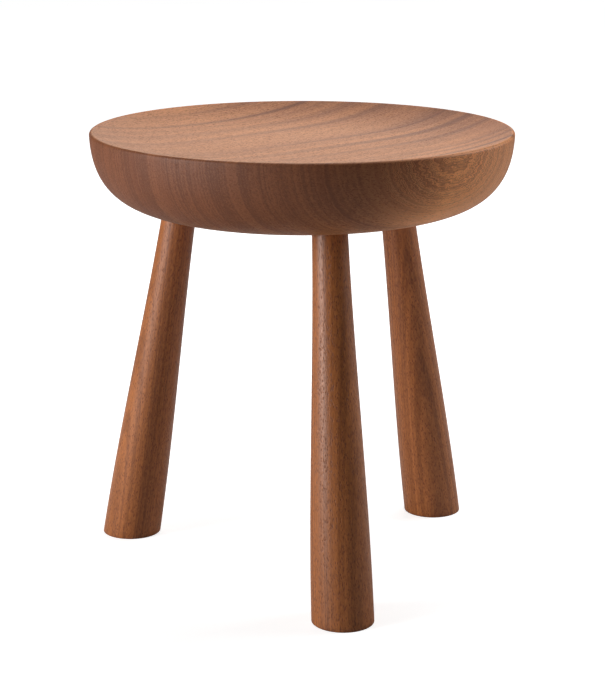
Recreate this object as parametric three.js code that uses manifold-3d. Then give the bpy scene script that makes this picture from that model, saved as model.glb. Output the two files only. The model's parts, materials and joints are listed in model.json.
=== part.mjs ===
// A low round stool. The seat is turned from one thick block: a shallow dish above, a full
// rounded bowl below. Three splayed legs, turned thick at the foot and slim at the neck, are
// let into its underside. Each neck sits in a bored socket, and a round tenon runs on into a
// blind mortise, where a hardwood wedge in its end spreads it tight.
// Millimetres, +Z up, the floor at Z = 0, the front leg towards -Y.

import * as THREE from 'three';
import { mergeVertices, toCreasedNormals } from 'three/addons/utils/BufferGeometryUtils.js';
import Module from 'manifold-3d';

const wasm = await Module();
wasm.setup();

const radians = THREE.MathUtils.degToRad;

// Seat
const seatHeight = 400; // floor to the top of the rim
const seatDiameter = 379;
const seatThickness = 73; // rim to underside
const rimRounding = 2.5; // radius along the top edge
const wallLean = radians(1.9); // how far the wall leans in just under the rim
const wallReach = 51; // pull of the steep wall on the bowl's curve
const baseReach = 61; // pull of the level underside on the bowl's curve
const baseDiameter = 194; // flat middle of the underside
const dishDepth = 13;
const dishFullness = 4.5; // 2 is an even hollow, more is a flat floor with a steeper edge
const grainTurn = radians(30.4); // direction of the seat's fibres, from +X

// Legs
const legNames = ['front', 'right', 'left']; // evenly spaced, anticlockwise from above
const footInset = 15.2; // how far inside the rim the middle of each foot stands
const legSplay = radians(9.87); // lean of each leg's axis from upright
const footDiameter = 54.4;
const neckDiameter = 30.4; // at the shoulder, inside the socket
const footTaper = 0.0083; // narrowing of the radius per millimetre at the foot
const neckTaper = 0.0146; // and at the neck
const footRounding = 1.2; // eased edge where the leg meets the floor

// Joint between leg and seat
const socketDepth = 12; // how far the neck is let into the underside, along its axis
const tenonDiameter = 24;
const tenonLength = 34;
const tenonChamfer = 1.5;
const kerfDepth = 25; // saw cut down the tenon's end for the wedge
const kerfWidth = 2; // at the bottom of the cut
const wedgeSpread = 3; // how much wider the cut is held open at its mouth
const jointClearance = 0.3; // glue gap between pieces

// Fineness of the curves
const seatFacets = 96;
const legFacets = 40;
const dishSteps = 11;
const bowlSteps = 14;
const legSteps = 13;
const roundingSteps = 3;

// Radii and heights that follow from the sizes above
const seatRadius = seatDiameter / 2;
const stance = seatRadius - footInset; // from the seat's axis to the middle of a foot
const footRadius = footDiameter / 2;
const neckRadius = neckDiameter / 2;
const tenonRadius = tenonDiameter / 2;
const rimCentre = new THREE.Vector2(seatRadius - rimRounding, seatHeight - rimRounding);
const undersideHeight = seatHeight - seatThickness;

// A point on a circle in a turning profile, x being the radius and y the height.
function onCircle(centre, radius, angle) {
  return new THREE.Vector2(
    centre.x + radius * Math.cos(angle),
    centre.y + radius * Math.sin(angle),
  );
}

// Points along an arc from one angle to another, both ends included.
function arcPoints(centre, radius, from, to, steps) {
  return Array.from({ length: steps + 1 }, (_, i) =>
    onCircle(centre, radius, THREE.MathUtils.lerp(from, to, i / steps)),
  );
}

// The bowl's outline, from the middle of the wall's rounding down and in to the flat base.
const wallStart = onCircle(rimCentre, rimRounding, -wallLean);
const baseEdge = new THREE.Vector2(baseDiameter / 2, undersideHeight);
const bowlCurve = new THREE.CubicBezierCurve(
  wallStart,
  new THREE.Vector2(
    wallStart.x - wallReach * Math.sin(wallLean),
    wallStart.y - wallReach * Math.cos(wallLean),
  ),
  new THREE.Vector2(baseEdge.x + baseReach, baseEdge.y),
  baseEdge,
);

// The dish is z = depth * (r / R) ^ fullness, cut off where it meets the rim's rounding.
const dishRadius = seatRadius - rimRounding;
const dishEdgeSlope = (dishDepth * dishFullness) / dishRadius;
const dishEdgeAngle = Math.PI / 2 + Math.atan(dishEdgeSlope);
const dishEdge = onCircle(rimCentre, rimRounding, dishEdgeAngle);

function dishHeight(radius) {
  const rise = Math.pow(radius / dishEdge.x, dishFullness) - 1;
  return dishEdge.y + dishDepth * rise;
}

// Half outline of the whole seat, from the middle of its underside round to the dish.
function seatProfile() {
  const bowl = bowlCurve.getPoints(bowlSteps).reverse();
  const rim = arcPoints(rimCentre, rimRounding, -wallLean, dishEdgeAngle, 2 * roundingSteps);
  const dish = Array.from({ length: dishSteps }, (_, i) => {
    const radius = dishEdge.x * Math.sqrt(1 - (i + 1) / dishSteps);
    return new THREE.Vector2(radius, dishHeight(radius));
  });
  return [new THREE.Vector2(0, undersideHeight), ...bowl, ...rim.slice(1), ...dish];
}

// Height of the bowl's underside at a distance from the seat's axis.
function bowlHeight(radius) {
  if (radius <= baseEdge.x) return undersideHeight;
  let inner = 1;
  let outer = 0;
  while (inner - outer > 1e-6) {
    const middle = (inner + outer) / 2;
    if (bowlCurve.getPoint(middle).x < radius) inner = middle;
    else outer = middle;
  }
  return bowlCurve.getPoint(inner).y;
}

// Distance along a leg's axis, from the floor, at which it enters the underside.
function entryDistance() {
  let below = 0;
  let above = seatHeight / Math.cos(legSplay);
  while (above - below > 1e-4) {
    const along = (below + above) / 2;
    const radius = stance - along * Math.sin(legSplay);
    if (along * Math.cos(legSplay) < bowlHeight(radius)) below = along;
    else above = along;
  }
  return below;
}

const entry = entryDistance();
const socketFloor = entry + socketDepth;
const shoulder = socketFloor - jointClearance;
const tenonEnd = shoulder + tenonLength;
const kerfBottom = tenonEnd - kerfDepth;

// The leg's outline from foot to neck: a slow start at the foot, an even taper, a slow end.
const legCurve = new THREE.CubicBezierCurve(
  new THREE.Vector2(footRadius, 0),
  new THREE.Vector2(footRadius - (footTaper * shoulder) / 3, shoulder / 3),
  new THREE.Vector2(neckRadius + (neckTaper * shoulder) / 3, (2 * shoulder) / 3),
  new THREE.Vector2(neckRadius, shoulder),
);

// Leg radius where it passes into the seat, which sets the bore of the socket.
const entryRadius = legCurve.getPoint(entry / shoulder).x;

// The tenon's own outline, from its shoulder up to its chamfered end.
function tenonProfile() {
  return [
    new THREE.Vector2(tenonRadius, shoulder),
    new THREE.Vector2(tenonRadius, tenonEnd - tenonChamfer),
    new THREE.Vector2(tenonRadius - tenonChamfer, tenonEnd),
    new THREE.Vector2(0, tenonEnd),
  ];
}

// Geometry turned about Z from a half outline that starts and ends on the axis.
function turned(profile, facets) {
  return new THREE.LatheGeometry(profile, facets).rotateX(Math.PI / 2);
}

// A closed solid for cutting and joining, from a geometry and the place it is put in.
function solidOf(geometry, place = new THREE.Matrix4()) {
  const bare = new THREE.BufferGeometry();
  bare.setAttribute('position', geometry.getAttribute('position').clone());
  bare.setIndex(geometry.index);
  bare.applyMatrix4(place);
  const merged = mergeVertices(bare, 1e-4);
  const corners = merged.index.array;
  const triangles = [];
  for (let i = 0; i < corners.length; i += 3) {
    const [a, b, c] = corners.slice(i, i + 3);
    if (a !== b && b !== c && c !== a) triangles.push(a, b, c);
  }
  return new wasm.Manifold(
    new wasm.Mesh({
      numProp: 3,
      vertProperties: merged.getAttribute('position').array,
      triVerts: new Uint32Array(triangles),
    }),
  );
}

// The surface of a solid as a geometry, shaded smooth except at real edges.
function surfaceOf(solid) {
  const { vertProperties, triVerts } = solid.getMesh();
  const geometry = new THREE.BufferGeometry();
  geometry.setAttribute('position', new THREE.BufferAttribute(vertProperties, 3));
  geometry.setIndex(new THREE.BufferAttribute(triVerts, 1));
  return toCreasedNormals(geometry, radians(30));
}

// Where each leg stands: its axis runs along local Z from the middle of its foot, leaning in.
const legPlaces = legNames.map((name, i) => {
  const turn = (i * 2 * Math.PI) / legNames.length;
  const place = new THREE.Matrix4()
    .makeRotationZ(turn)
    .multiply(new THREE.Matrix4().makeTranslation(0, -stance, 0))
    .multiply(new THREE.Matrix4().makeRotationX(-legSplay));
  return { name, turn, place };
});

// Socket and mortise as one stepped bore, long enough to come out through the underside.
function socketBore() {
  const socketRadius = entryRadius + jointClearance;
  const mortiseRadius = tenonRadius + jointClearance;
  const mortiseEnd = tenonEnd + jointClearance;
  const mouth = entry - socketRadius;
  const profile = [
    new THREE.Vector2(0, mouth),
    new THREE.Vector2(socketRadius, mouth),
    new THREE.Vector2(socketRadius, socketFloor),
    new THREE.Vector2(mortiseRadius, socketFloor),
    new THREE.Vector2(mortiseRadius, mortiseEnd),
    new THREE.Vector2(0, mortiseEnd),
  ];
  return turned(profile, legFacets);
}

function makeSeat() {
  const block = solidOf(turned(seatProfile(), seatFacets));
  return legPlaces.reduce(
    (seat, leg) => seat.subtract(solidOf(socketBore(), leg.place)),
    block,
  );
}

// What is left of a leg's foot: level with the floor, with an eased edge, and open above.
function footEnvelope() {
  const reach = footRadius + shoulder;
  const eased = arcPoints(
    new THREE.Vector2(footRadius - footRounding, footRounding),
    footRounding,
    -Math.PI / 2,
    0,
    roundingSteps,
  );
  const profile = [
    new THREE.Vector2(0, 0),
    ...eased,
    new THREE.Vector2(footRadius + reach, footRounding + reach),
    new THREE.Vector2(footRadius + reach, 2 * reach),
    new THREE.Vector2(0, 2 * reach),
  ];
  const upright = new THREE.Matrix4()
    .makeRotationX(legSplay)
    .multiply(new THREE.Matrix4().makeScale(1, 1 / Math.cos(legSplay), 1));
  return solidOf(turned(profile, legFacets), upright);
}

// A flat bar that widens upwards, from the bottom of the saw cut to the tenon's end. The
// spare length carries it past both ends on the same slopes.
function taperedBar(play, spareBelow, spareAbove) {
  const halfWidth = (along) => {
    const share = (along - kerfBottom) / kerfDepth;
    return (kerfWidth + wedgeSpread * share) / 2 - play;
  };
  const bottom = kerfBottom - spareBelow;
  const top = tenonEnd + spareAbove;
  const outline = new THREE.Shape([
    new THREE.Vector2(-halfWidth(bottom), bottom),
    new THREE.Vector2(halfWidth(bottom), bottom),
    new THREE.Vector2(halfWidth(top), top),
    new THREE.Vector2(-halfWidth(top), top),
  ]);
  const length = 2 * tenonDiameter;
  return new THREE.ExtrudeGeometry(outline, { depth: length, bevelEnabled: false })
    .translate(0, 0, -length / 2)
    .rotateX(Math.PI / 2);
}

// The wedge spreads each tenon along the seat's fibres, so that it can't split the seat.
function alongGrain(turn) {
  return new THREE.Matrix4().makeRotationZ(grainTurn - turn);
}

function makeLeg(turn) {
  const below = footRounding + footRadius;
  const profile = [
    new THREE.Vector2(0, -below),
    new THREE.Vector2(footRadius, -below),
    ...legCurve.getPoints(legSteps),
    ...tenonProfile(),
  ];
  const kerf = solidOf(taperedBar(0, 0, tenonChamfer), alongGrain(turn));
  return solidOf(turned(profile, legFacets)).intersect(footEnvelope()).subtract(kerf);
}

function makeWedge(turn) {
  const bar = solidOf(taperedBar(jointClearance, -jointClearance, tenonChamfer), alongGrain(turn));
  const round = [new THREE.Vector2(0, shoulder), ...tenonProfile()];
  return bar.intersect(solidOf(turned(round, legFacets)));
}

// Finishes
const seatWood = new THREE.MeshStandardMaterial({ color: '#a8795c', roughness: 0.5, metalness: 0 });
const legWood = new THREE.MeshStandardMaterial({ color: '#97613c', roughness: 0.5, metalness: 0 });
const wedgeWood = new THREE.MeshStandardMaterial({ color: '#c9a678', roughness: 0.6, metalness: 0 });

function namedMesh(name, solid, material) {
  const mesh = new THREE.Mesh(surfaceOf(solid), material.clone());
  mesh.name = name;
  return mesh;
}

const frameOfStool = new THREE.Group();
frameOfStool.add(namedMesh('seat', makeSeat(), seatWood));
for (const { name, turn, place } of legPlaces) {
  const legGroup = new THREE.Group();
  legGroup.applyMatrix4(place);
  legGroup.add(namedMesh(`leg_${name}`, makeLeg(turn), legWood));
  legGroup.add(namedMesh(`wedge_${name}`, makeWedge(turn), wedgeWood));
  frameOfStool.add(legGroup);
}

// The origin is on the floor, under the middle of the stool's overall box.
const middle = new THREE.Box3().setFromObject(frameOfStool, true).getCenter(new THREE.Vector3());
frameOfStool.position.set(-middle.x, -middle.y, 0);

const stool = new THREE.Group();
stool.name = 'stool';
stool.add(frameOfStool);

export default stool;
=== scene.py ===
"""A low round stool: a thick turned seat, dished above and rounded below, on three splayed
turned legs. The legs sit in blind sockets, their tenons spread by hidden wedges."""

import json
import math

import bmesh
import bpy
from bpy.props import FloatProperty, FloatVectorProperty, IntProperty, PointerProperty
from mathutils import Matrix, Vector
from mathutils.geometry import interpolate_bezier


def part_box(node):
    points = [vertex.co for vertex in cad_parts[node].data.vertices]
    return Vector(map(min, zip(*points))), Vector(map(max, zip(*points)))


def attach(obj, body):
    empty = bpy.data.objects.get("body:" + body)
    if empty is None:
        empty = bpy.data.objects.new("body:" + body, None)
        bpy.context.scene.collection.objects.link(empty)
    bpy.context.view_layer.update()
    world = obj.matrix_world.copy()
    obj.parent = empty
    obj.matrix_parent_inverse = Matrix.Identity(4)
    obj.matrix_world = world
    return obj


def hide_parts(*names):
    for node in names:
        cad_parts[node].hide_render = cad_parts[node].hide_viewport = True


bl_info = {
    "name": "Round Wooden Stool",
    "version": (1, 0, 0),
    "blender": (4, 5, 0),
    "location": "View3D > Sidebar > Stool",
    "description": "Builds a turned hardwood stool and the studio it stands in",
    "category": "Object",
}

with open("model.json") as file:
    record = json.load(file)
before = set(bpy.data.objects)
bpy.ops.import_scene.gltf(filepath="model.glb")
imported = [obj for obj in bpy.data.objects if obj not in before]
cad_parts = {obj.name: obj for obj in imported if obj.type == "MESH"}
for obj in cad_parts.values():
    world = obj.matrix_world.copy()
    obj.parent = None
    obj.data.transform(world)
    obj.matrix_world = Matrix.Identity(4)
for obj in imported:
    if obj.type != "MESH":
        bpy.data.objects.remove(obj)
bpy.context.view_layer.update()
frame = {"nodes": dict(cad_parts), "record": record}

# What the frame says about where things are, in metres.
SEAT_LOW, SEAT_HIGH = (Vector(corner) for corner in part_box("seat"))
SEAT_AXIS = Vector(((SEAT_LOW.x + SEAT_HIGH.x) / 2, (SEAT_LOW.y + SEAT_HIGH.y) / 2, 0))
SEAT_RADIUS = (SEAT_HIGH.x - SEAT_LOW.x) / 2
LEG_SIDES = ("front", "right", "left")
FEET = {
    mount["name"].removeprefix("foot_"): Vector(mount["pos_m"])
    for mount in frame["record"]["mounts"]
}

# Faces that meet at more than this angle keep a crisp edge.
SHARP_ANGLE = math.radians(35)
# Points along a leg's outline.
LEG_STEPS = 40

# In every wood the fibres run along X and the growth layers lie across Y. This turns the
# fibres along Z, a leg's axis.
FIBRES_ALONG_AXIS = Matrix.Rotation(math.radians(-90), 4, "Y")

# How far the growth layers stray from flat, in metres, how rough the finished surface is, and
# how strongly it mirrors, 0.5 being the usual strength.
SEAT_FINISH = {"wander": 0.0015, "ripple": 0.0013, "roughness": 0.47, "gloss": 0.42}
LEG_FINISH = {"wander": 0.003, "ripple": 0.0004, "roughness": 0.36, "gloss": 0.4}
WEDGE_FINISH = {"wander": 0.001, "ripple": 0.0002, "roughness": 0.4, "gloss": 0.3}

# Which part of the plank each piece comes from, as a seed. A leg is also turned about its own
# axis, in degrees.
SEAT_SEED = 1.0
LEG_CUTS = {"front": (10.0, 35), "right": (31.0, 60), "left": (24.0, 235)}
WEDGE_SEEDS = {"front": 40.0, "right": 41.0, "left": 42.0}

# How often a pattern repeats per metre along X, Y and Z.
WANDER_SCALE = (2.5, 9, 9)
RIPPLE_SCALE = (110, 150, 400)
STREAK_SCALE = (190, 850, 750)
MOTTLE_SCALE = (14, 45, 45)
PORE_SCALE = (300, 1000, 900)
# Where a pore begins and where it is full, counted from its middle in pore spacings.
PORE_EDGE = (0.5, 0.24)
# Repeats per metre of patterns that change only from one growth layer to the next.
BAND_SCALE = 55.0
LINE_SCALE = 500.0
FIGURE_SCALE = 1900.0

# How much each pattern deepens the colour, roughens the surface and lowers it.
DEEPENING = {"Bands": 0.32, "Lines": 0.28, "Streaks": 0.32, "Mottle": 0.08}
ROUGHENING = {"Streaks": 0.08, "Pores": 0.15, "End Grain": 0.08}
LOWERING = {"Pores": -1.0, "Streaks": -0.3}
BUMP_STRENGTH, BUMP_HEIGHT = 0.8, 0.00015
# How far a stain and a pore go to the dark colour. Stains go all the way on end grain.
STAIN_DEPTH, PORE_DEPTH = 0.7, 0.8
# End grain is darker and has more contrast. A surface that looks back along the fibres
# counts as end grain far sooner than one that looks forwards along them.
END_GRAIN_TINT = (0.305, 0.238, 0.255, 1)
END_GRAIN_CONTRAST = 1.8
END_GRAIN_BACKWARDS, END_GRAIN_FORWARDS = -4.0, 0.8

# The seat's main dark streaks: how far each lies from the seat's axis across the growth
# layers, in metres, and how dark it is.
SEAT_STREAKS = (
    (0.168, 0.7), (0.136, 1.0), (0.098, 0.5), (0.070, 0.6), (0.002, 0.7),
    (-0.033, 1.0), (-0.065, 0.7), (-0.113, 0.5), (-0.128, 0.5), (-0.152, 1.0),
)
STREAK_HALF_WIDTH = 0.0085
# They grow stronger along the fibres: the two places, in metres, and the strength at each.
# Fine lines break them up: the strength between the lines and on them.
STREAK_RUN = (-0.12, 0.15)
STREAK_STRENGTH = (0.35, 1.2)
STREAK_ON_LINES = (0.5, 1.2)

# The seat's pale flank, partly sapwood and partly painted light: a lit side brightened in the
# colour. Where it begins and is full, in metres out from the axis across the layers, and how much
# nearer to the axis it begins per metre along the fibres.
SAPWOOD_AND_PAINTED_LIGHT_EDGE = (0.118, 0.155)
SAPWOOD_AND_PAINTED_LIGHT_SLANT = 0.5
# Painted light: the flank mostly stays off faces that look up, so it brightens the seat's side
# more than its top.
SAPWOOD_AND_PAINTED_LIGHT_ON_TOP = 0.35  # what is left of it on faces that look up
FACING_UP = (0.5, 0.9)  # the normal's upward part where a face begins to look up, and does
SAPWOOD_AND_PAINTED_LIGHT_PORES = -0.45  # change in the depth of its pores
SAPWOOD_AND_PAINTED_LIGHT_STREAKS = -0.8  # change in the strength of the streaks where it is flat-sawn

# Fine wavy lines on the flat-sawn part of the pale flank of sapwood and painted light: the seed
# and how far a line spreads in their noise, their depth, and how fast they fade as the growth
# layers turn away from the surface.
FIGURE_SEED = 5.0
FIGURE_LINE = 0.12
FIGURE_DEPTH = 0.85
FIGURE_FADING = 3.0

# Each lamp's direction round the seat from the camera and its height, in degrees, the width
# and height of its face, and its distance. Its brightness is the studio setting of its name.
LAMPS = {
    "overhead": (155, 66, (1.3, 1.3), 2.4),
    "left": (-69, 16, (1.0, 1.5), 2.4),
    "right": (105, 25, (1.2, 1.4), 2.4),
    "back": (180, 20, (1.2, 0.9), 2.4),
    "sheen": (-52, 2, (0.5, 0.3), 1.3),
}
LAMP_AIM = 0.6  # as a share of the stool's height

# The floor's own tone, its glow under the stool and far out, the distances from the middle
# between which the glow changes, in metres, and how much of the floor's glow and of the white
# surround a surface mirrors.
FLOOR_TONE = (0.6, 0.6, 0.6, 1)
FLOOR_GLOW = (0.76, 1.0)
FLOOR_GLOW_REACH = (0.2, 1.0)
FLOOR_MIRRORED = 0.05
SURROUND_MIRRORED = 0.1


class SeatSizes(bpy.types.PropertyGroup):
    """Sizes of the turned seat that the frame's box doesn't give."""

    dish_depth: FloatProperty(
        name="Dish Depth",
        description="How far the middle of the top lies below the rim",
        default=0.013, min=0.001, unit="LENGTH",
    )
    dish_fullness: FloatProperty(
        name="Dish Fullness",
        description="2 is an even hollow, more is a flatter floor with a steeper edge",
        default=4.5, min=2.0,
    )
    rim_rounding: FloatProperty(
        name="Rim Rounding",
        description="Radius along the top edge",
        default=0.0025, min=0.0005, unit="LENGTH",
    )
    wall_lean: FloatProperty(
        name="Wall Lean",
        description="How far the wall leans in just under the rim",
        default=math.radians(1.9), subtype="ANGLE",
    )
    wall_reach: FloatProperty(
        name="Wall Reach",
        description="Pull of the steep wall on the bowl's curve",
        default=0.051, unit="LENGTH",
    )
    base_reach: FloatProperty(
        name="Base Reach",
        description="Pull of the level underside on the bowl's curve",
        default=0.061, unit="LENGTH",
    )
    base_diameter: FloatProperty(
        name="Base Diameter",
        description="Flat middle of the underside",
        default=0.194, unit="LENGTH",
    )
    grain_turn: FloatProperty(
        name="Grain Turn",
        description="Direction of the seat's fibres, from the X axis",
        default=math.radians(30.4), subtype="ANGLE",
    )
    facets: IntProperty(
        name="Facets", description="Faces round the seat", default=256, min=24
    )


class LegSizes(bpy.types.PropertyGroup):
    """Sizes of the turned legs and of their joints."""

    splay: FloatProperty(
        name="Splay", description="Lean of each leg's axis from upright",
        default=math.radians(9.87), subtype="ANGLE",
    )
    foot_diameter: FloatProperty(
        name="Foot Diameter", description="Across the leg at the floor",
        default=0.0544, unit="LENGTH",
    )
    neck_diameter: FloatProperty(
        name="Neck Diameter", description="Across the leg at its shoulder, inside the socket",
        default=0.0304, unit="LENGTH",
    )
    foot_taper: FloatProperty(
        name="Foot Taper", description="Narrowing of the radius per length at the foot",
        default=0.0083,
    )
    neck_taper: FloatProperty(
        name="Neck Taper", description="Narrowing of the radius per length at the neck",
        default=0.0146,
    )
    foot_rounding: FloatProperty(
        name="Foot Rounding", description="Eased edge where the leg meets the floor",
        default=0.0012, unit="LENGTH",
    )
    entry: FloatProperty(
        name="Entry", description="Distance along the leg at which it enters the seat",
        default=0.33275, unit="LENGTH",
    )
    socket_depth: FloatProperty(
        name="Socket Depth", description="How far the neck is let into the seat",
        default=0.012, unit="LENGTH",
    )
    tenon_diameter: FloatProperty(
        name="Tenon Diameter", description="Across the round tenon above the shoulder",
        default=0.024, unit="LENGTH",
    )
    tenon_length: FloatProperty(
        name="Tenon Length", description="From the shoulder to the tenon's end",
        default=0.034, unit="LENGTH",
    )
    tenon_chamfer: FloatProperty(
        name="Tenon Chamfer", description="Bevel round the tenon's end",
        default=0.0015, unit="LENGTH",
    )
    glue_gap: FloatProperty(
        name="Glue Gap", description="Play between the pieces of a joint",
        default=0.0003, unit="LENGTH",
    )
    kerf_depth: FloatProperty(
        name="Kerf Depth", description="Saw cut down the tenon's end for the wedge",
        default=0.025, unit="LENGTH",
    )
    kerf_width: FloatProperty(
        name="Kerf Width", description="Width of the saw cut at its bottom",
        default=0.002, unit="LENGTH",
    )
    wedge_spread: FloatProperty(
        name="Wedge Spread", description="How much wider the cut is held open at its mouth",
        default=0.003, unit="LENGTH",
    )
    facets: IntProperty(name="Facets", description="Faces round a leg", default=96, min=16)


class WoodTones(bpy.types.PropertyGroup):
    """Colours of the woods under a plain satin oil."""

    seat_light: FloatVectorProperty(
        name="Seat Light", description="Palest growth bands of the seat",
        default=(0.76, 0.305, 0.1), subtype="COLOR", min=0.0, max=1.0,
    )
    seat_deep: FloatVectorProperty(
        name="Seat Deep", description="Deepest growth bands of the seat",
        default=(0.46, 0.165, 0.05), subtype="COLOR", min=0.0, max=1.0,
    )
    # The sapwood colours are partly the flank's own pale wood and partly painted light: a brighter
    # lit side put into the colour.
    sap_and_painted_light_pale: FloatVectorProperty(
        name="Sapwood Light", description="Palest bands of the seat's sapwood flank",
        default=(1.0, 0.425, 0.15), subtype="COLOR", min=0.0, max=1.0,
    )
    sap_and_painted_light_deep: FloatVectorProperty(
        name="Sapwood Deep", description="Deepest bands of the seat's sapwood flank",
        default=(1.0, 0.37, 0.117), subtype="COLOR", min=0.0, max=1.0,
    )
    leg_light: FloatVectorProperty(
        name="Leg Light", description="Palest growth bands of the legs",
        default=(0.58, 0.196, 0.056), subtype="COLOR", min=0.0, max=1.0,
    )
    leg_deep: FloatVectorProperty(
        name="Leg Deep", description="Deepest growth bands of the legs",
        default=(0.195, 0.058, 0.0155), subtype="COLOR", min=0.0, max=1.0,
    )
    streak: FloatVectorProperty(
        name="Streak", description="Dark streaks and the inside of the pores",
        default=(0.17, 0.045, 0.013), subtype="COLOR", min=0.0, max=1.0,
    )
    wedge: FloatVectorProperty(
        name="Wedge", description="The pale hardwood of the hidden wedges",
        default=(0.58, 0.38, 0.19), subtype="COLOR", min=0.0, max=1.0,
    )
    wedge_depth: FloatProperty(
        name="Wedge Depth", description="Tone of the wedges' deepest bands against the palest",
        default=0.75, min=0.0, max=1.0,
    )


class StudioSetup(bpy.types.PropertyGroup):
    """Camera and lamps. A lamp's brightness of 1 shows a facing colour as it is written."""

    camera_turn: FloatProperty(
        name="Camera Turn", description="Direction of the camera round the seat, from the front",
        default=math.radians(-11.63), subtype="ANGLE",
    )
    camera_distance: FloatProperty(
        name="Camera Distance", description="Level distance from the seat's axis",
        default=1.7265, unit="LENGTH",
    )
    camera_height: FloatProperty(
        name="Camera Height", description="Height of the lens above the floor",
        default=0.6556, unit="LENGTH",
    )
    camera_tilt: FloatProperty(
        name="Camera Tilt", description="How far the camera looks down",
        default=math.radians(14.924), subtype="ANGLE",
    )
    camera_shift: FloatProperty(
        name="Camera Shift",
        description="Sideways shift, as a share of the picture's longer side",
        default=0.00066,
    )
    lens: FloatProperty(
        name="Lens", description="Focal length for a 36 mm frame", default=99.82, min=1.0,
    )
    overhead: FloatProperty(
        name="Overhead", description="Brightness of the lamp above", default=0.48, min=0.0,
    )
    left: FloatProperty(
        name="Left", description="Brightness of the low lamp on the left", default=0.86, min=0.0,
    )
    right: FloatProperty(
        name="Right", description="Brightness of the lamp behind on the right",
        default=0.45, min=0.0,
    )
    back: FloatProperty(
        name="Back", description="Brightness of the low lamp behind", default=0.1, min=0.0,
    )
    sheen: FloatProperty(
        name="Sheen", description="Brightness of the small lamp that is only mirrored",
        default=0.25, min=0.0,
    )


# Meshes


def turned(outline, steps, centre=Vector((0, 0, 0))):
    """A closed mesh turned about an upright axis from (radius, height) points.

    The outline starts and ends on the axis."""
    bm = bmesh.new()
    corners = [bm.verts.new((centre.x + radius, centre.y, height)) for radius, height in outline]
    edges = [bm.edges.new(pair) for pair in zip(corners, corners[1:])]
    bmesh.ops.spin(
        bm, geom=corners + edges, cent=centre, axis=(0, 0, 1), angle=2 * math.pi,
        steps=steps, use_merge=True,
    )
    clean(bm)
    return bm


def clean(bm):
    """Closes seams and poles, and turns every face outwards."""
    bmesh.ops.remove_doubles(bm, verts=bm.verts, dist=1e-6)
    bmesh.ops.recalc_face_normals(bm, faces=bm.faces)


def new_piece(name, bm):
    """An object in the scene from a finished bmesh."""
    mesh = bpy.data.meshes.new(name)
    bm.to_mesh(mesh)
    bm.free()
    piece = bpy.data.objects.new(name, mesh)
    bpy.context.scene.collection.objects.link(piece)
    return piece


def cut(piece, cutters):
    """Takes the cutters' shapes out of a piece for good, and removes them."""
    for cutter in cutters:
        modifier = piece.modifiers.new("cut", "BOOLEAN")
        modifier.object = cutter
        modifier.solver = "EXACT"
    depsgraph = bpy.context.evaluated_depsgraph_get()
    whole = piece.data
    piece.data = bpy.data.meshes.new_from_object(piece.evaluated_get(depsgraph))
    piece.modifiers.clear()
    name = whole.name
    bpy.data.meshes.remove(whole)
    piece.data.name = name
    for cutter in cutters:
        bpy.data.meshes.remove(cutter.data)


def shade(piece):
    """Smooth shading that keeps real edges crisp."""
    piece.data.shade_smooth()
    piece.data.set_sharp_from_angle(angle=SHARP_ANGLE)


def finish_piece(piece, material, node):
    """Gives a piece its wood, and puts it in place of a node of the frame."""
    shade(piece)
    piece.data.materials.clear()
    piece.data.materials.append(material)
    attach(piece, "root")
    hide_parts(node)


# Turning outlines, as (radius, height) points


def arc(centre, radius, start, end, steps):
    """Points along an arc, both ends included."""
    angles = (start + (end - start) * i / steps for i in range(steps + 1))
    return [centre + radius * Vector((math.cos(a), math.sin(a))) for a in angles]


def curve(start, start_pull, end_pull, end, steps):
    """Points along a curve that its two middle points pull on, both ends included."""
    return interpolate_bezier(start, start_pull, end_pull, end, steps + 1)


def seat_outline(sizes, bowl_steps=48, rim_steps=10, dish_steps=40):
    """Half outline of the seat, from the middle of the underside round to the dish."""
    rounding = sizes.rim_rounding
    rim_centre = Vector((SEAT_RADIUS - rounding, SEAT_HIGH.z - rounding))
    slope = sizes.dish_depth * sizes.dish_fullness / rim_centre.x
    dish_start = math.pi / 2 + math.atan(slope)
    rim = arc(rim_centre, rounding, -sizes.wall_lean, dish_start, rim_steps)

    wall_start = rim[0]
    down_the_wall = Vector((-math.sin(sizes.wall_lean), -math.cos(sizes.wall_lean)))
    base_edge = Vector((sizes.base_diameter / 2, SEAT_LOW.z))
    bowl = curve(
        base_edge, base_edge + Vector((sizes.base_reach, 0)),
        wall_start + sizes.wall_reach * down_the_wall, wall_start, bowl_steps,
    )

    edge = rim[-1]
    dish = []
    for i in range(1, dish_steps + 1):
        share = math.sqrt(1 - i / dish_steps)
        fall = sizes.dish_depth * (1 - share**sizes.dish_fullness)
        dish.append(Vector((edge.x * share, edge.y - fall)))
    return [Vector((0, SEAT_LOW.z)), *bowl, *rim[1:], *dish]


def leg_radius_points(sizes):
    """The leg's outline from foot to shoulder: (radius, distance along the leg)."""
    shoulder = shoulder_distance(sizes)
    foot, neck = sizes.foot_diameter / 2, sizes.neck_diameter / 2
    return curve(
        Vector((foot, 0)),
        Vector((foot - sizes.foot_taper * shoulder / 3, shoulder / 3)),
        Vector((neck + sizes.neck_taper * shoulder / 3, 2 * shoulder / 3)),
        Vector((neck, shoulder)),
        LEG_STEPS,
    )


def shoulder_distance(sizes):
    """How far along its axis a leg's shoulder lies."""
    return sizes.entry + sizes.socket_depth - sizes.glue_gap


def tenon_end_distance(sizes):
    """How far along its axis a leg's tenon ends."""
    return shoulder_distance(sizes) + sizes.tenon_length


def leg_outline(sizes):
    """Half outline of a leg, with spare length below the floor for its slanting foot."""
    foot = spare = sizes.foot_diameter / 2
    tenon = sizes.tenon_diameter / 2
    end = tenon_end_distance(sizes)
    return [
        Vector((0, -spare)),
        Vector((foot, -spare)),
        *leg_radius_points(sizes),
        Vector((tenon, shoulder_distance(sizes))),
        Vector((tenon, end - sizes.tenon_chamfer)),
        Vector((tenon - sizes.tenon_chamfer, end)),
        Vector((0, end)),
    ]


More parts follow.
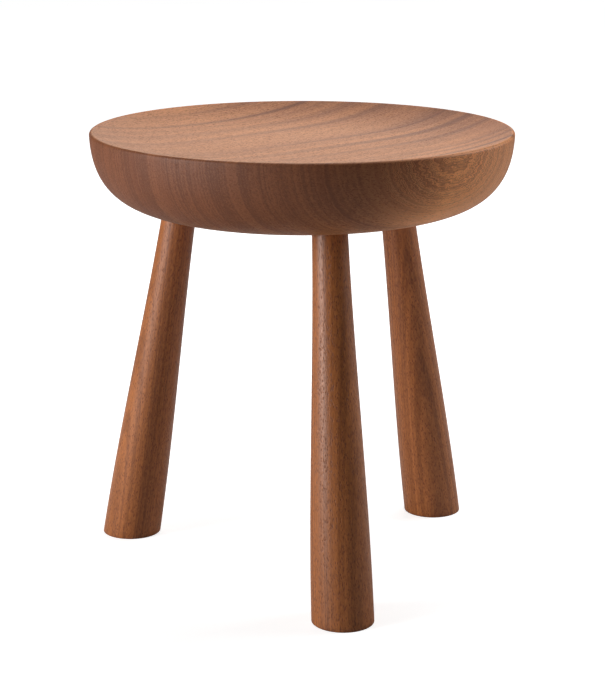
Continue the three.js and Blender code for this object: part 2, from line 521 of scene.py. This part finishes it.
def bore_outline(sizes):
    """Half outline of a socket and its mortise, long enough to come out below."""
    neck = next(point.x for point in leg_radius_points(sizes) if point.y > sizes.entry)
    socket = neck + sizes.glue_gap
    mortise = sizes.tenon_diameter / 2 + sizes.glue_gap
    floor = sizes.entry + sizes.socket_depth
    end = tenon_end_distance(sizes) + sizes.glue_gap
    mouth = sizes.entry - socket
    return [
        Vector(point)
        for point in ((0, mouth), (socket, mouth), (socket, floor), (mortise, floor),
                      (mortise, end), (0, end))
    ]


def leg_place(side, splay):
    """Where a leg stands: its axis is local Z, from the middle of its foot."""
    foot = FEET[side]
    outwards = foot - SEAT_AXIS
    turn = math.atan2(outwards.y, outwards.x) + math.pi / 2
    return (
        Matrix.Translation(Vector((foot.x, foot.y, 0)))
        @ Matrix.Rotation(turn, 4, "Z")
        @ Matrix.Rotation(-splay, 4, "X")
    )


def kerf_bar(sizes, place, grain_turn):
    """A bar that widens upwards, the shape of the saw cut that a wedge holds open."""
    end = tenon_end_distance(sizes)
    bottom = end - sizes.kerf_depth
    spare = sizes.glue_gap
    length = sizes.tenon_diameter
    bm = bmesh.new()
    half_bottom = sizes.kerf_width / 2
    half_top = half_bottom + sizes.wedge_spread / 2 * (1 + spare / sizes.kerf_depth)
    corners = [
        bm.verts.new((x, -length, z))
        for x, z in ((-half_bottom, bottom), (half_bottom, bottom),
                     (half_top, end + spare), (-half_top, end + spare))
    ]
    face = bm.faces.new(corners)
    side = bmesh.ops.extrude_face_region(bm, geom=[face])["geom"]
    moved = [part for part in side if isinstance(part, bmesh.types.BMVert)]
    bmesh.ops.translate(bm, verts=moved, vec=(0, 2 * length, 0))
    turn = grain_turn - place.to_euler("ZYX").z
    bm.transform(place @ Matrix.Rotation(turn, 4, "Z"))
    clean(bm)
    return new_piece("kerf", bm)


# Shader nodes


def add_node(tree, kind, inputs=None, **settings):
    """A node with its settings, and its inputs set to values or joined to other sockets."""
    node = tree.nodes.new(kind)
    for name, value in settings.items():
        setattr(node, name, value)
    for key, value in (inputs or {}).items():
        if isinstance(value, bpy.types.NodeSocket):
            tree.links.new(value, node.inputs[key])
        else:
            node.inputs[key].default_value = value
    return node


def calculate(tree, operation, *values):
    """The result of one Math node."""
    inputs = dict(enumerate(values))
    return add_node(tree, "ShaderNodeMath", inputs, operation=operation).outputs[0]


def stretch(tree, vector, scale):
    """A vector scaled along its three axes."""
    return add_node(
        tree, "ShaderNodeVectorMath", {0: vector, 1: scale}, operation="MULTIPLY"
    ).outputs[0]


def blend(tree, factor, first, second, kind="MIX"):
    """Two colours mixed by a factor."""
    node = tree.nodes.new("ShaderNodeMix")
    node.data_type = "RGBA"
    node.blend_type = kind
    for socket, value in zip((node.inputs[0], node.inputs[6], node.inputs[7]),
                             (factor, first, second)):
        if isinstance(value, bpy.types.NodeSocket):
            tree.links.new(value, socket)
        else:
            socket.default_value = value
    return node.outputs[2]


def remap(tree, value, from_min, from_max, to_min=0.0, to_max=1.0, smooth=True):
    """A value moved from one range to another, clamped."""
    return add_node(
        tree, "ShaderNodeMapRange",
        {0: value, 1: from_min, 2: from_max, 3: to_min, 4: to_max},
        interpolation_type="SMOOTHSTEP" if smooth else "LINEAR",
    ).outputs[0]


def full_range(tree, pattern):
    """Noise, which seldom leaves 0.3 to 0.7, stretched so that it fills 0 to 1."""
    return remap(tree, pattern, 0.3, 0.7)


def add_up(tree, sockets, weights, total):
    """A first total, plus each named socket times its weight."""
    for name, weight in weights.items():
        total = calculate(tree, "MULTIPLY_ADD", sockets[name], weight, total)
    return total


def component(tree, vector, axis):
    """One component of a vector."""
    return add_node(tree, "ShaderNodeSeparateXYZ", {0: vector}).outputs[axis]


def dot(tree, first, second):
    """How far two directions agree."""
    return add_node(
        tree, "ShaderNodeVectorMath", {0: first, 1: second}, operation="DOT_PRODUCT"
    ).outputs["Value"]


def new_group(name, inputs, outputs):
    """An empty shader group, its input node and its output node."""
    tree = bpy.data.node_groups.new(name, "ShaderNodeTree")
    for socket_name, kind, default in inputs:
        socket = tree.interface.new_socket(socket_name, in_out="INPUT", socket_type=kind)
        if default is not None:
            socket.default_value = default
    for socket_name, kind in outputs:
        tree.interface.new_socket(socket_name, in_out="OUTPUT", socket_type=kind)
    start = tree.nodes.new("NodeGroupInput")
    end = tree.nodes.new("NodeGroupOutput")
    return tree, start, end


def place_group(tree, group, inputs):
    """A group's node in a material."""
    node = tree.nodes.new("ShaderNodeGroup")
    node.node_tree = group
    for key, value in inputs.items():
        if isinstance(value, bpy.types.NodeSocket):
            tree.links.new(value, node.inputs[key])
        else:
            node.inputs[key].default_value = value
    return node


FLOAT, VECTOR, COLOUR = "NodeSocketFloat", "NodeSocketVector", "NodeSocketColor"


def noise(tree, vector, seed, scale, detail=2.0, roughness=0.5):
    """Noise whose scale may differ along the three axes, around 0.5."""
    return add_node(
        tree, "ShaderNodeTexNoise",
        {"Vector": stretch(tree, vector, scale), "W": seed, "Scale": 1.0,
         "Detail": detail, "Roughness": roughness},
        noise_dimensions="4D",
    ).outputs[0]


def layered_noise(tree, across, seed, scale, detail=2.0, roughness=0.5):
    """Noise that changes only from one growth layer to the next, around 0.5."""
    return add_node(
        tree, "ShaderNodeTexNoise",
        {"W": calculate(tree, "MULTIPLY_ADD", across, scale, seed), "Scale": 1.0,
         "Detail": detail, "Roughness": roughness},
        noise_dimensions="1D",
    ).outputs[0]


def growth_layers_group():
    """Growth layers: nearly flat sheets across Y that wander a little."""
    tree, start, end = new_group(
        "Growth Layers",
        [("Place", VECTOR, None), ("Wander", FLOAT, 0.005), ("Ripple", FLOAT, 0.0006),
         ("Seed", FLOAT, 0.0)],
        [("Across", FLOAT), ("Grown Place", VECTOR), ("Bands", FLOAT), ("Lines", FLOAT)],
    )
    place, seed = start.outputs["Place"], start.outputs["Seed"]
    parts = add_node(tree, "ShaderNodeSeparateXYZ", {0: place}).outputs
    wander, ripple = (
        calculate(
            tree, "MULTIPLY", start.outputs[reach],
            calculate(tree, "MULTIPLY_ADD", noise(tree, place, seed, scale), 2.0, -1.0),
        )
        for reach, scale in (("Wander", WANDER_SCALE), ("Ripple", RIPPLE_SCALE))
    )
    across = calculate(tree, "ADD", calculate(tree, "ADD", parts["Y"], wander), ripple)
    rise = calculate(tree, "ADD", parts["Z"], ripple)
    grown = add_node(tree, "ShaderNodeCombineXYZ", {"X": parts["X"], "Y": across, "Z": rise})

    bands = layered_noise(tree, across, seed, BAND_SCALE, detail=3.0, roughness=0.6)
    lines = layered_noise(tree, across, seed, LINE_SCALE, detail=2.0, roughness=0.6)
    tree.links.new(across, end.inputs["Across"])
    tree.links.new(grown.outputs[0], end.inputs["Grown Place"])
    tree.links.new(full_range(tree, bands), end.inputs["Bands"])
    tree.links.new(full_range(tree, lines), end.inputs["Lines"])
    return tree


def fibres_group():
    """Long fine streaks and open pores along X. Cut across, they turn into specks."""
    tree, start, end = new_group(
        "Fibres",
        [("Place", VECTOR, None), ("Seed", FLOAT, 0.0)],
        [("Streaks", FLOAT), ("Pores", FLOAT), ("Mottle", FLOAT)],
    )
    place, seed = start.outputs["Place"], start.outputs["Seed"]
    streaks = noise(tree, place, seed, STREAK_SCALE, detail=2.0, roughness=0.6)
    mottle = noise(tree, place, seed, MOTTLE_SCALE, detail=3.0)
    to_nearest = add_node(
        tree, "ShaderNodeTexVoronoi",
        {"Vector": stretch(tree, place, PORE_SCALE), "W": seed, "Scale": 1.0},
        voronoi_dimensions="4D",
    ).outputs["Distance"]
    tree.links.new(full_range(tree, streaks), end.inputs["Streaks"])
    tree.links.new(remap(tree, to_nearest, *PORE_EDGE), end.inputs["Pores"])
    tree.links.new(full_range(tree, mottle), end.inputs["Mottle"])
    return tree


def end_grain_group():
    """How much a surface cuts across the fibres, from 0 along them towards 1 square to them."""
    tree, start, end = new_group(
        "End Grain",
        [("Normal", VECTOR, None), ("Fibre Direction", VECTOR, None)],
        [("Amount", FLOAT)],
    )
    facing = dot(tree, start.outputs["Normal"], start.outputs["Fibre Direction"])
    slant = calculate(
        tree, "MAXIMUM",
        calculate(tree, "MULTIPLY", facing, END_GRAIN_BACKWARDS),
        calculate(tree, "MULTIPLY", facing, END_GRAIN_FORWARDS),
    )
    left_over = calculate(tree, "POWER", math.e, calculate(tree, "MULTIPLY", slant, -1.0))
    tree.links.new(calculate(tree, "SUBTRACT", 1.0, left_over), end.inputs["Amount"])
    return tree


def wood_tones_group():
    """Puts bands, lines, streaks and pores together into a colour, a gloss and a height."""
    tree, start, end = new_group(
        "Wood Tones",
        [("Light", COLOUR, None), ("Deep", COLOUR, None), ("Dark", COLOUR, None),
         ("Bands", FLOAT, 0.5), ("Lines", FLOAT, 0.5), ("Streaks", FLOAT, 0.5),
         ("Mottle", FLOAT, 0.5), ("Pores", FLOAT, 0.0), ("Stains", FLOAT, 0.0),
         ("End Grain", FLOAT, 0.0), ("Plain Roughness", FLOAT, 0.4)],
        [("Colour", COLOUR), ("Roughness", FLOAT), ("Height", FLOAT)],
    )
    given = start.outputs
    end_grain = given["End Grain"]
    off_middle = calculate(tree, "SUBTRACT", add_up(tree, given, DEEPENING, 0.0), 0.5)
    contrast = calculate(tree, "MULTIPLY_ADD", end_grain, END_GRAIN_CONTRAST, 1.0)
    depth = calculate(tree, "MULTIPLY_ADD", off_middle, contrast, 0.5)
    colour = blend(tree, depth, given["Light"], given["Deep"])
    colour = blend(tree, end_grain, colour, END_GRAIN_TINT, "MULTIPLY")
    stain_depth = calculate(
        tree, "MULTIPLY_ADD", end_grain, 1.0 - STAIN_DEPTH, STAIN_DEPTH
    )
    for name, dark_share in (("Stains", stain_depth), ("Pores", PORE_DEPTH)):
        amount = calculate(tree, "MULTIPLY", given[name], dark_share)
        colour = blend(tree, amount, colour, given["Dark"])

    tree.links.new(colour, end.inputs["Colour"])
    roughness = add_up(tree, given, ROUGHENING, given["Plain Roughness"])
    tree.links.new(roughness, end.inputs["Roughness"])
    tree.links.new(add_up(tree, given, LOWERING, 1.0), end.inputs["Height"])
    return tree


def wood_groups():
    """The shader groups that every wood shares, built once."""
    makers = {
        "layers": ("Growth Layers", growth_layers_group),
        "fibres": ("Fibres", fibres_group),
        "end_grain": ("End Grain", end_grain_group),
        "tones": ("Wood Tones", wood_tones_group),
    }
    return {
        key: bpy.data.node_groups.get(name) or make()
        for key, (name, make) in makers.items()
    }


def streak_mask(tree, across, streaks, reach, half_width):
    """Dark streaks at given places across the growth layers, as one ramp."""
    share = remap(tree, across, -reach, reach, smooth=False)
    ramp = add_node(tree, "ShaderNodeValToRGB", {0: share})
    ramp.color_ramp.interpolation = "EASE"
    stops = ramp.color_ramp.elements
    stops[0].position, stops[0].color = 0.0, (0, 0, 0, 1)
    stops[1].position, stops[1].color = 1.0, (0, 0, 0, 1)
    for place, strength in streaks:
        middle = (place + reach) / (2 * reach)
        half = half_width / (2 * reach)
        for position, level in ((middle - half, 0), (middle, strength), (middle + half, 0)):
            stops.new(position).color = (level, level, level, 1)
    return ramp.outputs[0]


def wood_material(name, place, light, deep, dark, seed, wander, ripple, roughness, gloss):
    """A satin hardwood whose fibres run along X of the given place.

    Returns the material, and what a piece needs to add to it: the place and the normal, and
    the nodes of the growth layers and the tones."""
    material = bpy.data.materials.new(name)
    material.use_nodes = True
    tree = material.node_tree
    tree.nodes.clear()
    groups = wood_groups()

    coordinates = add_node(tree, "ShaderNodeTexCoord")
    mapping = add_node(
        tree, "ShaderNodeMapping",
        {"Vector": coordinates.outputs["Object"], "Location": place.to_translation(),
         "Rotation": place.to_euler()},
        vector_type="TEXTURE",
    )
    at, normal = mapping.outputs[0], coordinates.outputs["Normal"]
    layers = place_group(
        tree, groups["layers"], {"Place": at, "Wander": wander, "Ripple": ripple, "Seed": seed}
    )
    fibres = place_group(
        tree, groups["fibres"], {"Place": layers.outputs["Grown Place"], "Seed": seed}
    )
    end_grain = place_group(
        tree, groups["end_grain"],
        {"Normal": normal, "Fibre Direction": place.to_3x3() @ Vector((1, 0, 0))},
    )
    tones = place_group(
        tree, groups["tones"],
        {"Light": (*light, 1), "Deep": (*deep, 1), "Dark": (*dark, 1),
         "Bands": layers.outputs["Bands"], "Lines": layers.outputs["Lines"],
         "Streaks": fibres.outputs["Streaks"], "Mottle": fibres.outputs["Mottle"],
         "Pores": fibres.outputs["Pores"], "End Grain": end_grain.outputs["Amount"],
         "Plain Roughness": roughness},
    )
    bump = add_node(
        tree, "ShaderNodeBump",
        {"Height": tones.outputs["Height"], "Strength": BUMP_STRENGTH,
         "Distance": BUMP_HEIGHT},
    )
    surface = add_node(
        tree, "ShaderNodeBsdfPrincipled",
        {"Base Color": tones.outputs["Colour"], "Roughness": tones.outputs["Roughness"],
         "Normal": bump.outputs[0], "Specular IOR Level": gloss},
    )
    add_node(tree, "ShaderNodeOutputMaterial", {"Surface": surface.outputs[0]})
    return material, at, normal, layers, tones


def sapwood_and_painted_light_mask(tree, along, across, normal):
    """The seat's pale flank, from 0 to 1: partly sapwood and partly painted light, a lit side that
    is kept off faces that look up.
    """
    outwards = calculate(
        tree, "SUBTRACT", calculate(tree, "MULTIPLY", along, SAPWOOD_AND_PAINTED_LIGHT_SLANT), across
    )
    # Painted light: the flank fades on faces that look up, so it brightens the side more than the
    # top.
    on_top = remap(tree, component(tree, normal, "Z"), *FACING_UP, 1.0, SAPWOOD_AND_PAINTED_LIGHT_ON_TOP)
    return calculate(tree, "MULTIPLY", remap(tree, outwards, *SAPWOOD_AND_PAINTED_LIGHT_EDGE), on_top)


def seat_streaks(tree, along, across, lines):
    """The seat's dark streaks, broken up by fine lines and stronger towards one end."""
    streaks = streak_mask(tree, across, SEAT_STREAKS, SEAT_RADIUS, STREAK_HALF_WIDTH)
    on_lines = remap(tree, lines, 0.0, 1.0, *STREAK_ON_LINES, smooth=False)
    strength = remap(tree, along, *STREAK_RUN, *STREAK_STRENGTH)
    return calculate(
        tree, "MULTIPLY", calculate(tree, "MULTIPLY", streaks, on_lines), strength
    )


def wavy_figure(tree, across):
    """Fine lines that wave where the growth layers lie flat in the surface, from 0 to 1."""
    pattern = layered_noise(tree, across, FIGURE_SEED, FIGURE_SCALE)
    off_middle = calculate(tree, "ABSOLUTE", calculate(tree, "SUBTRACT", pattern, 0.5))
    return remap(tree, off_middle, FIGURE_LINE, 0.0)


def seat_wood_material(seat, wood):
    """The seat's wood, with its dark streaks and a paler flank that is partly sapwood and partly
    painted light.
    """
    place = Matrix.Translation(SEAT_AXIS) @ Matrix.Rotation(seat.grain_turn, 4, "Z")
    material, at, normal, layers, tones = wood_material(
        "seat_wood", place, wood.seat_light, wood.seat_deep, wood.streak, SEAT_SEED,
        **SEAT_FINISH,
    )
    tree = material.node_tree
    along, across = component(tree, at, "X"), layers.outputs["Across"]
    sapwood_and_painted_light = sapwood_and_painted_light_mask(tree, along, across, normal)

    # Flat-sawn parts of the pale flank of sapwood and painted light show the wavy figure in place
    # of the streaks.
    square_on = calculate(
        tree, "ABSOLUTE", dot(tree, normal, place.to_3x3() @ Vector((0, 1, 0)))
    )
    flat_sawn = calculate(
        tree, "MULTIPLY", sapwood_and_painted_light, calculate(tree, "POWER", square_on, FIGURE_FADING)
    )
    figure = calculate(
        tree, "MULTIPLY", wavy_figure(tree, across),
        calculate(tree, "MULTIPLY", flat_sawn, FIGURE_DEPTH),
    )
    streaks = calculate(
        tree, "MULTIPLY", seat_streaks(tree, along, across, layers.outputs["Lines"]),
        calculate(tree, "MULTIPLY_ADD", flat_sawn, SAPWOOD_AND_PAINTED_LIGHT_STREAKS, 1.0),
    )
    tree.links.new(calculate(tree, "MAXIMUM", streaks, figure), tones.inputs["Stains"])

    pores = tones.inputs["Pores"].links[0].from_socket
    pore_depth = calculate(tree, "MULTIPLY_ADD", sapwood_and_painted_light, SAPWOOD_AND_PAINTED_LIGHT_PORES, 1.0)
    tree.links.new(calculate(tree, "MULTIPLY", pores, pore_depth), tones.inputs["Pores"])
    # Painted light: the pale flank's brighter colours, partly sapwood and partly a lit side,
    # replace the plain ones.
    for name, plain, pale in (("Light", wood.seat_light, wood.sap_and_painted_light_pale),
                              ("Deep", wood.seat_deep, wood.sap_and_painted_light_deep)):
        colour = blend(tree, sapwood_and_painted_light, (*plain, 1), (*pale, 1))
        tree.links.new(colour, tones.inputs[name])
    return material


# Operators


class StoolOperator:
    """What the operators that work on the stool share."""

    bl_options = {"REGISTER", "UNDO"}

    def groups(self, context):
        """The settings of the seat, the legs and the woods."""
        scene = context.scene
        return scene.stool_seat, scene.stool_legs, scene.stool_wood


class STOOL_OT_seat(StoolOperator, bpy.types.Operator):
    """Turns the seat and bores its three sockets"""

    bl_idname = "stool.seat"
    bl_label = "Turn the Seat"

    def execute(self, context):
        seat, legs, wood = self.groups(context)
        piece = new_piece("stool_seat", turned(seat_outline(seat), seat.facets, SEAT_AXIS))
        bores = []
        for side in LEG_SIDES:
            bore = turned(bore_outline(legs), legs.facets)
            bore.transform(leg_place(side, legs.splay))
            bores.append(new_piece("bore_" + side, bore))
        cut(piece, bores)
        finish_piece(piece, seat_wood_material(seat, wood), "seat")
        return {"FINISHED"}


class STOOL_OT_legs(StoolOperator, bpy.types.Operator):
    """Turns the three legs, cuts their feet level and saws their tenons"""

    bl_idname = "stool.legs"
    bl_label = "Turn the Legs"

    def execute(self, context):
        seat, legs, wood = self.groups(context)
        for side, (seed, turn) in LEG_CUTS.items():
            place = leg_place(side, legs.splay)
            bm = turned(leg_outline(legs), legs.facets)
            bm.transform(place)
            self.level_foot(bm, legs.foot_rounding)
            piece = new_piece("stool_leg_" + side, bm)
            cut(piece, [kerf_bar(legs, place, seat.grain_turn)])
            turned_place = place @ Matrix.Rotation(math.radians(turn), 4, "Z")
            material, *_ = wood_material(
                "leg_wood_" + side, turned_place @ FIBRES_ALONG_AXIS,
                wood.leg_light, wood.leg_deep, wood.streak, seed, **LEG_FINISH,
            )
            finish_piece(piece, material, "leg_" + side)
        return {"FINISHED"}

    def level_foot(self, bm, rounding):
        """Saws a leg off at the floor and eases the new edge."""
        bmesh.ops.bisect_plane(
            bm, geom=bm.verts[:] + bm.edges[:] + bm.faces[:], dist=1e-7,
            plane_co=(0, 0, 0), plane_no=(0, 0, -1), clear_outer=True,
        )
        rim = [edge for edge in bm.edges if edge.is_boundary]
        sole = bmesh.ops.holes_fill(bm, edges=rim, sides=0)["faces"]
        edges = [edge for face in sole for edge in face.edges]
        bmesh.ops.bevel(
            bm, geom=edges, offset=rounding, segments=4, affect="EDGES", profile=0.5,
            material=-1, clamp_overlap=True,
        )
        clean(bm)


class STOOL_OT_wedges(StoolOperator, bpy.types.Operator):
    """Finishes the hidden wedges in a pale hardwood"""

    bl_idname = "stool.wedges"
    bl_label = "Finish the Wedges"

    def execute(self, context):
        _, legs, wood = self.groups(context)
        deep = [wood.wedge_depth * part for part in wood.wedge]
        for side, seed in WEDGE_SEEDS.items():
            place = leg_place(side, legs.splay) @ FIBRES_ALONG_AXIS
            material, *_ = wood_material(
                "wedge_wood_" + side, place, wood.wedge, deep, wood.streak, seed,
                **WEDGE_FINISH,
            )
            for slot in frame["nodes"]["wedge_" + side].material_slots:
                slot.material = material
        return {"FINISHED"}


class STOOL_OT_studio(bpy.types.Operator):
    """Sets up the pale floor, the white surround, the lamps and the camera"""

    bl_idname = "stool.studio"
    bl_label = "Set Up the Studio"
    bl_options = {"REGISTER", "UNDO"}

    def execute(self, context):
        setup = context.scene.stool_studio
        context.scene.view_settings.view_transform = "Standard"
        self.add_floor()
        self.add_surround(context.scene)
        for name in LAMPS:
            lamp = self.add_lamp(context.scene, setup, name)
            if name == "sheen":
                lamp.visible_diffuse = lamp.visible_camera = False
        self.add_camera(context.scene, setup)
        return {"FINISHED"}

    def add_floor(self, half_width=6.0):
        """A matt floor that takes shadows and glows white for the camera."""
        bm = bmesh.new()
        bmesh.ops.create_grid(bm, x_segments=1, y_segments=1, size=half_width)
        floor = new_piece("floor", bm)
        material = bpy.data.materials.new("pale_floor")
        material.use_nodes = True
        tree = material.node_tree
        tree.nodes.clear()
        path = add_node(tree, "ShaderNodeLightPath")
        matt = add_node(tree, "ShaderNodeBsdfDiffuse", {"Color": FLOOR_TONE})
        place = add_node(tree, "ShaderNodeTexCoord").outputs["Object"]
        distance = add_node(
            tree, "ShaderNodeVectorMath", {0: place}, operation="LENGTH"
        ).outputs["Value"]
        whiteness = remap(tree, distance, *FLOOR_GLOW_REACH, *FLOOR_GLOW)
        mirrored = calculate(tree, "MULTIPLY", path.outputs["Is Glossy Ray"], FLOOR_MIRRORED)
        seen = calculate(tree, "MAXIMUM", path.outputs["Is Camera Ray"], mirrored)
        glow = add_node(
            tree, "ShaderNodeEmission",
            {"Color": (1, 1, 1, 1), "Strength": calculate(tree, "MULTIPLY", seen, whiteness)},
        )
        both = add_node(tree, "ShaderNodeAddShader", {0: matt.outputs[0], 1: glow.outputs[0]})
        add_node(tree, "ShaderNodeOutputMaterial", {"Surface": both.outputs[0]})
        floor.data.materials.append(material)

    def add_surround(self, scene):
        """A white room that is seen and a little mirrored. It leaves the lighting to the lamps."""
        world = bpy.data.worlds.new("white_surround")
        world.use_nodes = True
        tree = world.node_tree
        tree.nodes.clear()
        path = add_node(tree, "ShaderNodeLightPath")
        seen = calculate(tree, "MULTIPLY", path.outputs["Is Glossy Ray"], SURROUND_MIRRORED)
        for kind in ("Is Camera Ray", "Is Transmission Ray"):
            seen = calculate(tree, "MAXIMUM", seen, path.outputs[kind])
        background = add_node(
            tree, "ShaderNodeBackground", {"Color": (1, 1, 1, 1), "Strength": seen}
        )
        add_node(tree, "ShaderNodeOutputWorld", {"Surface": background.outputs[0]})
        scene.world = world

    def add_lamp(self, scene, setup, name):
        """One of the soft lamps, aimed at the middle of the stool."""
        turn, height, size, distance = LAMPS[name]
        turn, height = setup.camera_turn + math.radians(turn), math.radians(height)
        offset = distance * Vector((
            math.cos(height) * math.sin(turn),
            -math.cos(height) * math.cos(turn),
            math.sin(height),
        ))
        data = bpy.data.lights.new(name + "_lamp", "AREA")
        data.shape = "RECTANGLE"
        data.size, data.size_y = size
        data.energy = getattr(setup, name) * (math.pi * distance) ** 2
        lamp = bpy.data.objects.new(name + "_lamp", data)
        aim = offset.to_track_quat("Z", "Y").to_matrix().to_4x4()
        target = SEAT_AXIS + Vector((0, 0, LAMP_AIM * SEAT_HIGH.z))
        lamp.matrix_world = Matrix.Translation(target + offset) @ aim
        scene.collection.objects.link(lamp)
        return lamp

    def add_camera(self, scene, setup):
        """The camera, which looks at the stool from the front and a little above."""
        data = bpy.data.cameras.new("camera")
        data.sensor_width = 36.0
        data.lens = setup.lens
        data.shift_x = setup.camera_shift
        camera = bpy.data.objects.new("camera", data)
        turn = setup.camera_turn
        camera.location = SEAT_AXIS + Vector((
            setup.camera_distance * math.sin(turn),
            -setup.camera_distance * math.cos(turn),
            setup.camera_height,
        ))
        camera.rotation_euler = (math.pi / 2 - setup.camera_tilt, 0, turn)
        scene.collection.objects.link(camera)
        scene.camera = camera


class STOOL_PT_sidebar(bpy.types.Panel):
    """Sizes, woods and studio of the stool"""

    bl_idname = "STOOL_PT_sidebar"
    bl_label = "Round Wooden Stool"
    bl_space_type = "VIEW_3D"
    bl_region_type = "UI"
    bl_category = "Stool"

    def draw(self, context):
        scene = context.scene
        for title, settings, operators in (
            ("Seat", scene.stool_seat, (STOOL_OT_seat,)),
            ("Legs", scene.stool_legs, (STOOL_OT_legs, STOOL_OT_wedges)),
            ("Woods", scene.stool_wood, ()),
            ("Studio", scene.stool_studio, (STOOL_OT_studio,)),
        ):
            box = self.layout.box()
            box.label(text=title)
            for name in settings.__annotations__:
                box.prop(settings, name)
            for operator in operators:
                box.operator(operator.bl_idname)


CLASSES = (
    SeatSizes, LegSizes, WoodTones, StudioSetup,
    STOOL_OT_seat, STOOL_OT_legs, STOOL_OT_wedges, STOOL_OT_studio, STOOL_PT_sidebar,
)
SETTINGS = {
    "stool_seat": SeatSizes,
    "stool_legs": LegSizes,
    "stool_wood": WoodTones,
    "stool_studio": StudioSetup,
}


def register():
    for cls in CLASSES:
        bpy.utils.register_class(cls)
    for name, group in SETTINGS.items():
        setattr(bpy.types.Scene, name, PointerProperty(type=group))


def unregister():
    for name in SETTINGS:
        delattr(bpy.types.Scene, name)
    for cls in reversed(CLASSES):
        bpy.utils.unregister_class(cls)


def main():
    register()
    bpy.ops.stool.studio()
    bpy.ops.stool.seat()
    bpy.ops.stool.legs()
    bpy.ops.stool.wedges()


if __name__ == "__main__":
    main()
